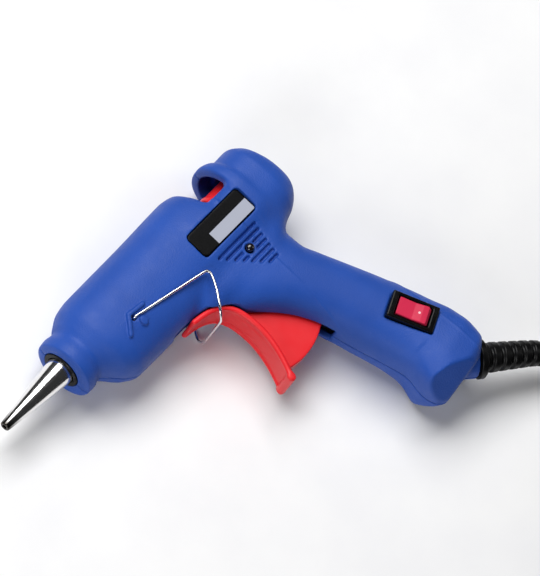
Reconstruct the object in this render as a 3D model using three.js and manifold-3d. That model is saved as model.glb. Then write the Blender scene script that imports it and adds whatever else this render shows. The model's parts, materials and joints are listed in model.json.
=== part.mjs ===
// Mini glue gun for 7 mm sticks, lying on its right flank. Millimetres.
// Every piece is drawn in the gun's own frame and the last group moves it onto the floor:
//   x runs from the nozzle tip (0) towards the rear, along the axis of the stick
//   y runs up from that axis, and the handle points to -y
//   z runs sideways, from the parting plane (0) to the left flank, which faces up
import * as THREE from "three";
import { mergeVertices } from "three/addons/utils/BufferGeometryUtils.js";
import Module from "manifold-3d";

const wasm = await Module();
wasm.setup();

// ---- driving dimensions -------------------------------------------------------------------
const GAP = 0.3; // between pieces that touch on the real gun
const WALL = 2.2; // shell thickness
const HALF_WIDTH = 15.2; // of the butt and of the hump, which the gun lies on
const STICK_RADIUS = 3.6;
const BORE_RADIUS = 4;

const NOZZLE = {
  tipRadius: 1.8, baseRadius: 5.4, cone: 30.6, seatRadius: 4.7, seatEnd: 34.6,
  spigotRadius: 3.9, end: 39.5, orifice: 0.8,
};
const MOUTH_RADIUS = 7.2; // of the hole in the shell's front collar
const CHAMBER = { front: 35, rear: 78, radius: 7, spigotEnd: 90, spigotRadius: 4.9 };
const TRIGGER_PIVOT = { x: 94, y: -28 };
const TRIGGER_RADIUS = 27.6; // from the pivot to the lower edge of the web
const TRIGGER_HALF_WIDTH = 7.2;
const WEB_HALF_WIDTH = 3;
const STAND_PIVOT = { x: 55.5, y: -5.8 };
const STAND_WIRE = { radius: 0.5, z: 14.65 };
const SWITCH = { x: 129.2, y: -71.7, tilt: -66.5, length: 17.2, width: 10, faceZ: 14.1 };
const LAMP = { x: 104.9, y: -17, radius: 1.5 };
const PLATE = { x: 103.9, y: -4.2, length: 26.6, width: 9.8, z: 14.1 };
const SHELL_SCREWS = [
  [52, -13.2],
  [131.5, -8.5],
  [117, -47],
  [120.5, -93],
];
const CLAMP_SCREWS_Z = [-6.5, 6.5];
const CORD_RADIUS = 2.5;
const FLOOR_Z = -HALF_WIDTH;
const COIL = { x: 160, y: -176, meanRadius: 27.5, halfWidth: 8, height: 14 };
const ORIGIN = { x: 84.4, y: -53.2 }; // bottom centre of the gun without its cord

// Sections of the barrel, across x: x, top, bottom, half width, squareness.
const BARREL = [
  [29.7, 9.3, -10.5, 9.9, 2],
  [30.5, 10.4, -11.8, 11, 2],
  [33, 10.7, -11.9, 11.1, 2],
  [36.4, 10.2, -11, 10.7, 2],
  [39.5, 12, -13.2, 12, 2.1],
  [44, 14.2, -17.7, 13.9, 2.2],
  [49, 14.9, -20, 14.3, 2.3],
  [76, 15.1, -20.1, 14.3, 2.3],
  [98, 15.6, -19.6, 14.3, 2.3],
  [102.5, 14.9, -19, 14.1, 2.3],
  [105.5, 11.9, -18, 13.2, 2.3],
  [107.8, 7.4, -16, 12, 2.2],
  [109.6, 1.5, -12, 9.4, 2.2],
];
// Sections of the hump, which holds the stick's tunnel.
const HUMP = [
  [116.6, 13.9, -18, 14, 2.5],
  [118.2, 15, -18.3, 14.8, 2.5],
  [120.6, 14.4, -18.5, 14.9, 2.5],
  [123, 12.6, -18.6, 14.6, 2.6],
  [129, 12.7, -18.2, 14.7, 2.6],
  [132.6, 10.7, -16.8, 13.6, 2.6],
  [135, 6.2, -15, 11.9, 2.5],
  [137, -0.5, -12.6, 8.6, 2.4],
];
// Sections of the handle and of the flank beside the trigger: front point, rear point,
// half width, squareness.
const HANDLE = [
  [78, -12, 130, 2, 12.6, 2.6],
  [77, -20.6, 129, -10, 12.8, 2.6],
  [84.4, -25.7, 127.5, -16, 12.8, 3.2],
  [90.5, -31.9, 123.3, -22.4, 12.8, 3.6],
  [96.8, -37.8, 123.4, -27.9, 12.8, 3.4],
  [102.4, -44.6, 125.4, -33.8, 12.7, 2.8],
  [107, -52.8, 130, -43.6, 12.6, 2.5],
  [110.6, -65.5, 136.1, -56.9, 12.7, 2.4],
  [114.1, -76.8, 141.3, -70.8, 13.2, 2.5],
  [116.2, -85.7, 143.8, -80.8, 14.2, 2.7],
  [113.4, -93.1, 143.9, -87.1, 15.2, 3],
  [115.1, -97.7, 143.2, -93.3, 14.9, 3],
  [119.5, -100.2, 138.5, -97.8, 12, 2.8],
];

// ---- making solids ------------------------------------------------------------------------
const at = (x, y, z) => new THREE.Matrix4().makeTranslation(x, y, z);
const turned = (x, y, z, degrees) =>
  at(x, y, z).multiply(new THREE.Matrix4().makeRotationZ(THREE.MathUtils.degToRad(degrees)));

// A closed geometry as a manifold solid, moved by a matrix.
function solid(geometry, matrix = new THREE.Matrix4()) {
  const bare = geometry.clone().deleteAttribute("normal").deleteAttribute("uv").applyMatrix4(matrix);
  const merged = mergeVertices(bare, 1e-4);
  const triVerts = new Uint32Array(merged.index.array);
  return new wasm.Manifold(
    new wasm.Mesh({ numProp: 3, vertProperties: merged.attributes.position.array, triVerts }),
  );
}

function mesh(name, body, colour, roughness, metalness = 0) {
  const made = body.getMesh();
  const geometry = new THREE.BufferGeometry();
  geometry.setAttribute("position", new THREE.BufferAttribute(made.vertProperties, 3));
  geometry.setIndex(new THREE.BufferAttribute(made.triVerts, 1));
  geometry.computeVertexNormals();
  const material = new THREE.MeshStandardMaterial({ color: colour, roughness, metalness });
  const result = new THREE.Mesh(geometry, material);
  result.name = name;
  return result;
}

const box = (x0, x1, y0, y1, z0, z1) =>
  solid(
    new THREE.BoxGeometry(x1 - x0, y1 - y0, z1 - z0),
    at((x0 + x1) / 2, (y0 + y1) / 2, (z0 + z1) / 2),
  );

// A lathe about the gun's x axis, from points [x, radius] that start and end on it or close up.
function turnedAlongX(points, sides = 32, y = 0, z = 0) {
  const profile = points.map(([x, radius]) => new THREE.Vector2(radius, x));
  const lay = new THREE.Matrix4().makeRotationZ(-Math.PI / 2);
  return solid(new THREE.LatheGeometry(profile, sides), at(0, y, z).multiply(lay));
}

// A disc-shaped stack along z, from points [radius, z].
function turnedAlongZ(points, x, y, sides = 24) {
  const profile = points.map(([radius, z]) => new THREE.Vector2(radius, z));
  const stand = new THREE.Matrix4().makeRotationX(Math.PI / 2);
  return solid(new THREE.LatheGeometry(profile, sides), at(x, y, 0).multiply(stand));
}

const rodAlongX = (x0, x1, radius, y = 0, z = 0, sides = 24) =>
  turnedAlongX([[x0, 0], [x0, radius], [x1, radius], [x1, 0]], sides, y, z);

const rodAlongZ = (x, y, z0, z1, radius, sides = 20) =>
  turnedAlongZ([[0, z0], [radius, z0], [radius, z1], [0, z1]], x, y, sides);

const ringAlongX = (x0, x1, inner, outer, sides = 28) =>
  rodAlongX(x0, x1, outer, 0, 0, sides).subtract(rodAlongX(x0 - 1, x1 + 1, inner, 0, 0, sides));

const outline = (points) => new THREE.Shape(points.map(([x, y]) => new THREE.Vector2(x, y)));

// A plate of a side outline between two sideways places.
const plate = (shape, z0, z1, steps = 12) =>
  solid(
    new THREE.ExtrudeGeometry(shape, { depth: z1 - z0, bevelEnabled: false, curveSegments: steps }),
    at(0, 0, z0),
  );

// A block with rounded corners, lying in the side view and turned by an angle.
function roundedBlock(length, width, corner, z0, z1, x, y, degrees) {
  const a = length / 2;
  const b = width / 2;
  const shape = new THREE.Shape();
  shape.moveTo(-a + corner, -b);
  shape.lineTo(a - corner, -b).absarc(a - corner, -b + corner, corner, -Math.PI / 2, 0);
  shape.lineTo(a, b - corner).absarc(a - corner, b - corner, corner, 0, Math.PI / 2);
  shape.lineTo(-a + corner, b).absarc(-a + corner, b - corner, corner, Math.PI / 2, Math.PI);
  shape.lineTo(-a, -b + corner).absarc(-a + corner, -b + corner, corner, Math.PI, Math.PI * 1.5);
  const extruded = new THREE.ExtrudeGeometry(shape, { depth: z1 - z0, bevelEnabled: false, curveSegments: 4 });
  return solid(extruded, turned(x, y, z0, degrees));
}

// A round tube through points, each [x, y, z].
function tube(points, radius, steps, sides = 8) {
  const curve = new THREE.CatmullRomCurve3(points.map((p) => new THREE.Vector3(...p)));
  const circle = new THREE.Shape().absarc(0, 0, radius, 0, Math.PI * 2);
  const options = { steps, extrudePath: curve, curveSegments: sides / 2, bevelEnabled: false };
  return solid(new THREE.ExtrudeGeometry(circle, options));
}

// A skin over superellipse sections: { x, y, ux, uy } is the middle and the unit direction of
// the section's height, high and wide are its half sizes.
function loft(sections, sides = 26) {
  const vertices = [];
  const faces = [];
  const power = (value, squareness) => Math.sign(value) * Math.abs(value) ** (2 / squareness);
  for (const { x, y, ux, uy, high, wide, squareness } of sections)
    for (let i = 0; i < sides; i++) {
      const angle = (i / sides) * Math.PI * 2;
      const up = high * power(Math.cos(angle), squareness);
      vertices.push(x + ux * up, y + uy * up, wide * power(Math.sin(angle), squareness));
    }
  const ring = (row, i) => row * sides + (i % sides);
  for (let row = 0; row + 1 < sections.length; row++)
    for (let i = 0; i < sides; i++) {
      faces.push(ring(row, i), ring(row, i + 1), ring(row + 1, i));
      faces.push(ring(row, i + 1), ring(row + 1, i + 1), ring(row + 1, i));
    }
  for (const row of [0, sections.length - 1]) {
    const { x, y } = sections[row];
    const middle = vertices.length / 3;
    vertices.push(x, y, 0);
    for (let i = 0; i < sides; i++) {
      const edge = [ring(row, i + 1), ring(row, i)];
      faces.push(middle, ...(row === 0 ? edge : edge.reverse()));
    }
  }
  const geometry = new THREE.BufferGeometry();
  geometry.setAttribute("position", new THREE.Float32BufferAttribute(vertices, 3));
  geometry.setIndex(faces);
  return solid(geometry);
}

// Sections across x, shrunk by an inset.
const acrossX = (rows, inset) =>
  rows.map(([x, top, bottom, wide, squareness]) => ({
    x, y: (top + bottom) / 2, ux: 0, uy: 1,
    high: (top - bottom) / 2 - inset, wide: wide - inset, squareness,
  }));

// Sections between a front and a rear point, shrunk by an inset.
const acrossSpine = (rows, inset) =>
  rows.map(([frontX, frontY, rearX, rearY, wide, squareness]) => {
    const high = Math.hypot(rearX - frontX, rearY - frontY) / 2;
    return {
      x: (frontX + rearX) / 2, y: (frontY + rearY) / 2,
      ux: (rearX - frontX) / (2 * high), uy: (rearY - frontY) / (2 * high),
      high: high - inset, wide: wide - inset, squareness,
    };
  });

// ---- the two shell halves -----------------------------------------------------------------
function shellOutside() {
  const deck = box(92, 124, -13, 4.2, -14.1, 14.1);
  const skin = loft(acrossX(BARREL, 0)).add(loft(acrossX(HUMP, 0))).add(loft(acrossSpine(HANDLE, 0)));
  return withButtFlats(skin.add(deck), 0);
}

// Cuts the two flats at the butt's lower end, which slope from each flank to its end.
function withButtFlats(body, inset) {
  const slope = [0.27, 0.79, 0.55];
  const reach = -48.5 + inset;
  const [along, up, sideways] = slope;
  return body.trimByPlane([along, up, -sideways], reach).trimByPlane([along, up, sideways], reach);
}

function shellInside() {
  const barrel = acrossX(BARREL, WALL).slice(2, -1);
  barrel[0].x = 33.2;
  const handle = acrossSpine(HANDLE, WALL).slice(0, -1);
  return withButtFlats(loft(barrel, 18).add(loft(handle, 18)), WALL);
}

// An arch in the section across x, for the stick's tunnel.
function arch(x0, x1, halfWidth, top, bottom) {
  const shape = new THREE.Shape();
  shape.moveTo(-halfWidth, bottom);
  shape.lineTo(halfWidth, bottom);
  shape.lineTo(halfWidth, top - halfWidth).absarc(0, top - halfWidth, halfWidth, 0, Math.PI);
  const turn = new THREE.Matrix4().makeRotationY(Math.PI / 2);
  const extruded = new THREE.ExtrudeGeometry(shape, { depth: x1 - x0, bevelEnabled: false, curveSegments: 14 });
  return solid(extruded, at(x0, 0, 0).multiply(turn));
}

// Everything that is cut out of both halves.
function shellOpenings() {
  const slotShape = outline([
    [67, -16], [67, -24], [84, -30], [96, -62], [107.2, -58], [111.4, -56], [109.4, -49], [100, -16],
  ]);
  const { x, y } = TRIGGER_PIVOT;
  const fingerRoom = outline([
    [66, -19.9], [81, -19.9], [87.2, -22.2], [90.6, -27.2], [91.6, -35], [80, -60], [66, -40],
  ]);
  return arch(109, 123, 11, 12, -9.4)
    .add(arch(109, 129, 9.3, 9.7, -9.4))
    .add(box(104, 117.5, -9.4, 7.4, -9.3, 9.3))
    .add(plate(fingerRoom, -TRIGGER_HALF_WIDTH - 0.6, TRIGGER_HALF_WIDTH + 0.6))
    .add(rodAlongZ(x, y, -8, 8, 4.6))
    .add(rodAlongX(28, 40, MOUTH_RADIUS, 0, 0, 28))
    .add(rodAlongX(128, 140, BORE_RADIUS + 0.3))
    .add(plate(slotShape, -WEB_HALF_WIDTH - 0.6, WEB_HALF_WIDTH + 0.6))
    .add(rodAlongZ(STAND_PIVOT.x, STAND_PIVOT.y, -20, 20, STAND_WIRE.radius + 0.5, 12))
    .add(glandSeat());
}

// The gland at the butt's rear corner, as a matrix that takes x onto its axis.
const GLAND = { x: 137.6, y: -96.2, degrees: -38 };
const glandFrame = turned(GLAND.x, GLAND.y, 0, GLAND.degrees);

// A round bar along the gland's axis.
function glandRod(radius, start, end, sides = 24) {
  const lay = at((start + end) / 2, 0, 0).multiply(new THREE.Matrix4().makeRotationZ(Math.PI / 2));
  const rod = new THREE.CylinderGeometry(radius, radius, end - start, sides);
  return solid(rod, glandFrame.clone().multiply(lay));
}

const RELIEF_FLANGE = { start: 2.3, end: 4.9, radius: 7 };
const glandBoss = () => glandRod(6.7, -4.5, RELIEF_FLANGE.start - GAP);
const glandSeat = () =>
  glandRod(4.4, -13, 13, 20).add(glandRod(RELIEF_FLANGE.radius + GAP, RELIEF_FLANGE.start - GAP, 14));

function screwBosses() {
  return SHELL_SCREWS.map(([x, y]) => rodAlongZ(x, y, -12.5, 12, 2.9, 16)).reduce((a, b) => a.add(b));
}

function screwHoles() {
  return SHELL_SCREWS.map(([x, y]) =>
    rodAlongZ(x, y, -20, -8, 2.6, 16).add(rodAlongZ(x, y, -9, 9, 1.3, 12)),
  ).reduce((a, b) => a.add(b));
}

// The long grooves of the vent panel, a triangle that points to the trigger.
function ventGrooves() {
  const rows = 7;
  const pitch = 2.15;
  return Array.from({ length: rows }, (_, i) => {
    const x0 = 93.5 + i * 2.1;
    const x1 = 113.4 - i * 0.4;
    return roundedBlock(x1 - x0, 0.9, 0.4, 12, 20, (x0 + x1) / 2, -12.3 - i * pitch, 0);
  }).reduce((a, b) => a.add(b));
}

function vents() {
  return ventGrooves().subtract(rodAlongZ(LAMP.x, LAMP.y, 0, 30, LAMP.radius + 1.2));
}

function makeShells() {
  const outside = shellOutside().add(glandBoss());
  const walls = outside.subtract(shellInside());
  const trunnion = rodAlongZ(TRIGGER_PIVOT.x, TRIGGER_PIVOT.y, -12, 12, 3.4, 16);
  const pinHole = rodAlongZ(TRIGGER_PIVOT.x, TRIGGER_PIVOT.y, -10, 10, 1.5 + GAP, 16);
  const middle = rodAlongZ(TRIGGER_PIVOT.x, TRIGGER_PIVOT.y, -8, 8.3, 6, 16);
  const chamberSeat = box(60, 64, -17, -CHAMBER.radius - GAP, -12, 12);
  const plateBacking = roundedBlock(PLATE.length + 4, PLATE.width + 4, 2, 9.6, 14.2, PLATE.x, PLATE.y, 0);
  const fittings = screwBosses().add(trunnion.subtract(middle)).add(chamberSeat).add(plateBacking);
  const body = walls
    .add(fittings.intersect(outside))
    .subtract(pinHole)
    .subtract(screwHoles())
    .subtract(shellOpenings());
  const halfSpace = (z0, z1) => box(-20, 220, -160, 60, z0, z1);
  const plateSeat = roundedBlock(
    PLATE.length + 2 * GAP, PLATE.width + 2 * GAP, 1.6, PLATE.z - 1.4 - GAP, 20, PLATE.x, PLATE.y, 0,
  );
  const left = body
    .intersect(halfSpace(GAP / 2, 40))
    .subtract(plateSeat)
    .subtract(vents())
    .subtract(rodAlongZ(LAMP.x, LAMP.y, 0, 30, LAMP.radius + GAP))
    .subtract(switchBlock(15, 8.4, 0, 30))
    .subtract(switchBlock(SWITCH.length + 2 * GAP, SWITCH.width + 2 * GAP, SWITCH.faceZ - 2.2 - GAP, 30));
  const right = body.intersect(halfSpace(-40, -GAP / 2));
  return [largest(left), largest(right)];
}

// The biggest piece of a solid, without the crumbs that cuts leave.
const largest = (body) => body.decompose().reduce((a, b) => (b.volume() > a.volume() ? b : a));

// ---- hot end ------------------------------------------------------------------------------
function nozzle() {
  const { tipRadius, baseRadius, cone, seatRadius, seatEnd, spigotRadius, end, orifice } = NOZZLE;
  return turnedAlongX([
    [0, orifice], [0, tipRadius - 0.3], [0.3, tipRadius], [cone - 0.6, baseRadius],
    [cone, baseRadius - 0.5], [cone, seatRadius], [seatEnd, seatRadius], [seatEnd, spigotRadius],
    [end, spigotRadius], [end, 2.4], [8, 2], [5, orifice], [0, orifice],
  ]);
}

function nozzleCollar() {
  const inner = NOZZLE.seatRadius + GAP;
  const outer = MOUTH_RADIUS - GAP;
  const front = NOZZLE.cone + GAP;
  const flange = 7.8;
  return turnedAlongX([
    [front, inner], [front, outer], [33.5, outer], [33.5, flange], [NOZZLE.seatEnd, flange],
    [NOZZLE.seatEnd, inner], [front, inner],
  ], 28);
}

function heatingChamber() {
  const { front, rear, radius, spigotEnd, spigotRadius } = CHAMBER;
  const body = rodAlongX(front, rear, radius, 0, 0, 28)
    .add(rodAlongX(rear - 1, spigotEnd, spigotRadius, 0, 0, 24))
    .add(box(44, 74, 3, 7.6, -5, 5));
  const socket = rodAlongX(front - 1, NOZZLE.end + GAP, NOZZLE.spigotRadius + GAP);
  return body.subtract(socket).subtract(rodAlongX(front, spigotEnd + 1, STICK_RADIUS));
}

const ptcHeater = () => box(46, 72, 7.9, 10.4, -4, 4);

// A spring-steel clamp that presses the heater onto the chamber.
function heaterClip() {
  const inner = outline([[10.7, 4.4], [7.7, 5.4], [7.7, -5.4], [10.7, -4.4]]);
  const outer = outline([
    [11.5, 4.9], [7.4, 6.3], [6.4, 8], [5.6, 8], [5.6, -8], [6.4, -8], [7.4, -6.3], [11.5, -4.9],
  ]);
  const turn = new THREE.Matrix4().set(0, 0, 1, 53, 1, 0, 0, 0, 0, 1, 0, 0, 0, 0, 0, 1);
  const cut = (shape, depth) => solid(new THREE.ExtrudeGeometry(shape, { depth, bevelEnabled: false }), turn);
  return cut(outer, 12)
    .subtract(cut(inner, 12.01).add(box(50, 70, 5, 10.7, -4.3, 4.3)))
    .subtract(rodAlongX(50, 70, CHAMBER.radius + GAP, 0, 0, 28))
    .subtract(box(50, 70, 3, 7.9, -5.3, 5.3));
}

const inletSleeve = () => ringAlongX(CHAMBER.rear + GAP, 97, CHAMBER.spigotRadius + GAP, 6.6, 28);

function sleeveClamp() {
  const ears = box(82, 86, -10.4, -6.9, -1.6, 1.6);
  const slit = box(80, 88, -12, -6, -0.4, 0.4);
  return ringAlongX(82, 86, 6.6 + GAP, 7.8, 28).add(ears).subtract(rodAlongX(80, 88, 6.6 + GAP)).subtract(slit);
}

// ---- feed mechanism -----------------------------------------------------------------------
const GRIPPER_PIN = { x: 121, y: -6.4 };

function feedCarriage() {
  const body = arch(112, 125, 7.4, 6.6, -9).add(rodAlongX(110.5, 112.5, 6.9));
  const foot = box(103, 113, -8.6, -5.2, -2.6, 2.6).add(box(103, 106.9, -16.4, -5.2, -2.6, 2.6));
  const jawRoom = box(111.8, 124, -9.5, -3, -2.1, 2.1);
  return body
    .add(foot)
    .subtract(rodAlongX(100, 130, BORE_RADIUS))
    .subtract(jawRoom)
    .subtract(rodAlongZ(GRIPPER_PIN.x, GRIPPER_PIN.y, -10, 10, 1 + GAP, 12));
}

// The toothed jaw that bites the stick.
function gripper() {
  const teeth = 4;
  const points = [[112.6, -8], [122.6, -8], [122.6, -5.2]];
  for (let i = 0; i < teeth; i++) {
    const x = 119 - i * 1.7;
    points.push([x, -5.6], [x - 1.5, -4.2]);
  }
  points.push([112.6, -5.6]);
  return plate(outline(points), -1.8, 1.8).subtract(
    rodAlongZ(GRIPPER_PIN.x, GRIPPER_PIN.y, -5, 5, 1 + GAP, 12),
  );
}

const gripperPin = () => rodAlongZ(GRIPPER_PIN.x, GRIPPER_PIN.y, -6.8, 6.8, 1, 12);

// The finger plate: its front line from the horn under the shell down to the tip.
const TRIGGER_FRONT = [
  [73.6, -22], [77.8, -22.6], [82, -23.9], [85.2, -26.3], [87.2, -30.2],
  [88, -36.3], [87.6, -42.6], [85.8, -49.6], [82.6, -57.4],
];

function trigger() {
  const thickness = 2;
  const front = new THREE.SplineCurve(TRIGGER_FRONT.map(([x, y]) => new THREE.Vector2(x, y)));
  const steps = 26;
  const edge = front.getPoints(steps);
  const back = edge.map((p, i) => {
    const along = front.getTangent(i / steps);
    return new THREE.Vector2(p.x - along.y * thickness, p.y + along.x * thickness);
  });
  const finger = plate(new THREE.Shape([...edge, ...back.reverse()]), -TRIGGER_HALF_WIDTH, TRIGGER_HALF_WIDTH);
  const tip = rodAlongZ(83.6, -57.2, -TRIGGER_HALF_WIDTH, TRIGGER_HALF_WIDTH, 1.5, 16);
  const { x, y } = TRIGGER_PIVOT;
  const web = new THREE.Shape();
  web.moveTo(x, y + 6);
  web.lineTo(86.5, -26);
  web.lineTo(88.4, -34);
  web.lineTo(88.2, -43);
  web.lineTo(86, -54.4);
  web.absarc(x, y, TRIGGER_RADIUS, THREE.MathUtils.degToRad(-107), THREE.MathUtils.degToRad(-59), false);
  web.lineTo(103.5, -36);
  web.lineTo(100.5, -26);
  const arm = outline([
    [x - 2, y + 3], [104.5, -20.3], [107.1, -17.6], [107.4, -14.5], [110.6, -14.5], [110.2, -18.5],
    [x + 3.4, y - 4],
  ]);
  const nose = rodAlongZ(109, -14.5, -1.8, 1.8, 1.7, 14);
  const hub = rodAlongZ(x, y, -4.2, 4.2, 4, 20);
  return finger
    .add(tip)
    .add(plate(web, -WEB_HALF_WIDTH, WEB_HALF_WIDTH, 10))
    .add(plate(arm, -1.8, 1.8))
    .add(nose)
    .add(hub)
    .subtract(rodAlongZ(x, y, -10, 10, 1.5 + GAP, 16));
}

const triggerPin = () => rodAlongZ(TRIGGER_PIVOT.x, TRIGGER_PIVOT.y, -9.6, 9.6, 1.5, 16);

// Torsion spring beside the trigger's hub.
function returnSpring() {
  const turns = 2.5;
  const steps = 36;
  const points = [[107, -20.5, 7.4]];
  for (let i = 0; i <= steps; i++) {
    const angle = (i / steps) * turns * Math.PI * 2 + 1.9;
    points.push([
      TRIGGER_PIVOT.x + 3.1 * Math.cos(angle),
      TRIGGER_PIVOT.y + 3.1 * Math.sin(angle),
      7.4 - (i / steps) * 2.2,
    ]);
  }
  return tube(points, 0.28, 44, 6);
}

// ---- wire stand ---------------------------------------------------------------------------
function standWire() {
  const { z, radius } = STAND_WIRE;
  const { x, y } = STAND_PIVOT;
  const side = [
    [x, y, 11.9], [x, y, z - 1.1], [x + 0.4, y - 0.1, z - 0.2], [x + 2, y - 0.4, z],
    [x + 15, y - 3, z], [x + 28, y - 5.6, z], [x + 31, y - 6.4, z], [x + 31.3, y - 8.6, z],
    [x + 28.6, y - 13.3, z], [x + 25.2, y - 17.5, z], [x + 23.7, y - 19.8, z - 1],
    [x + 23.2, y - 21.2, z - 3.2],
  ];
  const other = side.map(([px, py, pz]) => [px, py, -pz]).reverse();
  const foot = [[x + 23.1, y - 21.5, 7], [x + 23.1, y - 21.5, 0], [x + 23.1, y - 21.5, -7]];
  return tube([...side, ...foot, ...other], radius, 78, 6);
}

// ---- electrics ----------------------------------------------------------------------------
const switchBlock = (length, width, z0, z1) =>
  roundedBlock(length, width, 0.5, z0, z1, SWITCH.x, SWITCH.y, SWITCH.tilt);

function switchHousing() {
  const { length, width, faceZ } = SWITCH;
  const flange = switchBlock(length, width, faceZ - 2.2, faceZ + 0.7);
  const can = switchBlock(14.2, 7.6, 2, faceZ);
  return flange.add(can).subtract(switchBlock(12.4, 7.2, 6, faceZ + 2));
}

// The rocker: a shallow V seen from the side, on its pivot across the housing.
function switchRocker() {
  const half = 5.8;
  const halfWidth = 3.3;
  const shape = outline([
    [-half, 1.1], [0, 0.8], [half - 1.3, 1.9], [half, 0.3], [half - 0.4, -2.2], [0, -6], [-half + 0.4, -2.8],
  ]);
  const stand = new THREE.Matrix4().makeRotationX(Math.PI / 2);
  const place = turned(SWITCH.x, SWITCH.y, SWITCH.faceZ, SWITCH.tilt).multiply(at(0, halfWidth, 0));
  const extruded = new THREE.ExtrudeGeometry(shape, { depth: 2 * halfWidth, bevelEnabled: false });
  return solid(extruded, place.multiply(stand));
}

const indicatorLens = () =>
  turnedAlongZ([[0, 10], [LAMP.radius, 10], [LAMP.radius, 13.2], [1.1, 13.8], [0, 14]], LAMP.x, LAMP.y, 16);

const indicatorLamp = () =>
  rodAlongZ(LAMP.x, LAMP.y, 4, 9.7, 1.3, 12).add(box(LAMP.x - 2.5, LAMP.x + 2.5, LAMP.y - 2, LAMP.y + 2, 2.8, 4.2));

const ratingPlate = () => roundedBlock(PLATE.length, PLATE.width, 1.5, PLATE.z - 1.3, PLATE.z, PLATE.x, PLATE.y, 0);

// Inside the handle: the end of the cord's sheath, and the leads from it to heater and switch.
const cordCore = () => glandRod(CORD_RADIUS, -18, -2.5, 14);

const leadToHeater = () =>
  tube([[122.2, -84.7, -1.3], [120.5, -79, -5], [119, -68, -7], [114.8, -58, -7.2], [112.2, -50, -7.4],
    [108.6, -38, -8.2], [104, -26, -8.8], [100, -16, -8.8], [94, -9, -9], [88, -2, -9], [84, 5, -8.8],
    [79, 9, -5.4], [75.4, 9.4, -2.6], [74.4, 9.3, -2]], 0.8, 30, 6);

const leadToSwitch = () =>
  tube([[122.4, -84.1, 1.3], [126, -80, 0.6], [128.4, -76, 0.3], [129.8, -73, 0.2]], 0.8, 8, 6);

// In the gland's frame: a bar across the sheath, held by two screws.
function cordClamp() {
  const bar = solid(new THREE.BoxGeometry(3.6, 7, 18.4), glandFrame.clone().multiply(at(-10.5, 0, 0)));
  return CLAMP_SCREWS_Z.reduce(
    (body, z) => body.subtract(acrossGland(z, -8, 8, 1.3)),
    bar.subtract(glandRod(CORD_RADIUS + GAP, -26, 5, 20)),
  );
}

// A rod across the gland's axis, at a sideways place.
function acrossGland(z, y0, y1, radius) {
  const rod = new THREE.CylinderGeometry(radius, radius, y1 - y0, 12);
  return solid(rod, glandFrame.clone().multiply(at(-10.5, (y0 + y1) / 2, z)));
}

const clampScrew = (z) => acrossGland(z, -5.2, 3.9, 1).add(acrossGland(z, 3.8, 5.4, 2));

function shellScrew(x, y) {
  return rodAlongZ(x, y, -11.5, -8.4, 2.2, 14)
    .add(rodAlongZ(x, y, -9, 8, 1, 10))
    .subtract(box(x - 0.3, x + 0.3, y - 1.5, y + 1.5, -12, -10.6))
    .subtract(box(x - 1.5, x + 1.5, y - 0.3, y + 0.3, -12, -10.6));
}

// ---- lead, coil and plug ------------------------------------------------------------------
const RELIEF_ROUTE = [
  [136.1, -95.1, 0], [141.3, -99, 0], [150.4, -105.6, -0.8], [158.5, -111.6, -2.2], [165.5, -119, -4.2],
];

function strainRelief() {
  const { start, end, radius } = RELIEF_FLANGE;
  return tube(RELIEF_ROUTE, 4.05, 14, 12).add(glandRod(radius, start, end));
}

const CORD_Z = FLOOR_Z + CORD_RADIUS + 0.2;
const CORD_LEAD = [
  [165.95, -119.75, -4.5], [168.9, -125.5, -7], [172.6, -132.5, -9.9], [177, -139, -12],
  [182.2, -144.2, CORD_Z], [189.8, -151, CORD_Z], [195.2, -159.5, CORD_Z], [198, -168, CORD_Z],
];
const CORD_TAIL = [
  [156, -214.8, CORD_Z], [147, -214, CORD_Z], [138, -211, CORD_Z], [129, -207, CORD_Z + 1.5],
  [123.3, -205.2, CORD_Z + 2.6],
];

function cordCoil() {
  const { x, y, meanRadius, halfWidth, height } = COIL;
  const bottom = FLOOR_Z + 0.05;
  return turnedAlongZ([
    [meanRadius - halfWidth, bottom + 2], [meanRadius - halfWidth + 2, bottom],
    [meanRadius + halfWidth - 2, bottom], [meanRadius + halfWidth, bottom + 2],
    [meanRadius + halfWidth, bottom + height - 3], [meanRadius + halfWidth - 3, bottom + height],
    [meanRadius - halfWidth + 3, bottom + height], [meanRadius - halfWidth, bottom + height - 3],
    [meanRadius - halfWidth, bottom + 2],
  ], x, y, 36);
}

// A strap over the bundle of turns, open below.
function cordTie() {
  const { x, y, meanRadius, halfWidth, height } = COIL;
  const inner = halfWidth + 0.8;
  const outer = inner + 1.2;
  const middle = x - meanRadius;
  return box(middle - outer, middle + outer, y - 4, y + 4, FLOOR_Z + 0.05, FLOOR_Z + height + 1.6).subtract(
    box(middle - inner, middle + inner, y - 5, y + 5, FLOOR_Z - 1, FLOOR_Z + height + 0.4),
  );
}

const PLUG = { rear: 122, front: 88, y: -205, z: FLOOR_Z + 6.6, pinSpacing: 17.3 };

function plugBody() {
  const { rear, front, y, z } = PLUG;
  const shape = outline([
    [rear, y - 4.5], [rear, y + 4.5], [rear - 9, y + 6.5], [rear - 17, y + 11], [front, y + 11],
    [front, y - 11], [rear - 17, y - 11], [rear - 9, y - 6.5],
  ]);
  return plate(shape, z - 6.5, z + 6.5);
}

const plugPin = (side) =>
  rodAlongX(PLUG.front - 19, PLUG.front - GAP, 2, PLUG.y + (side * PLUG.pinSpacing) / 2, PLUG.z, 14);

// ---- assembly -----------------------------------------------------------------------------
const BLUE = 0x2f54b8;
const RED = 0xd8262c;
const BLACK = 0x141416;
const STEEL = 0xc8cacf;
const [leftShell, rightShell] = makeShells();

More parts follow.
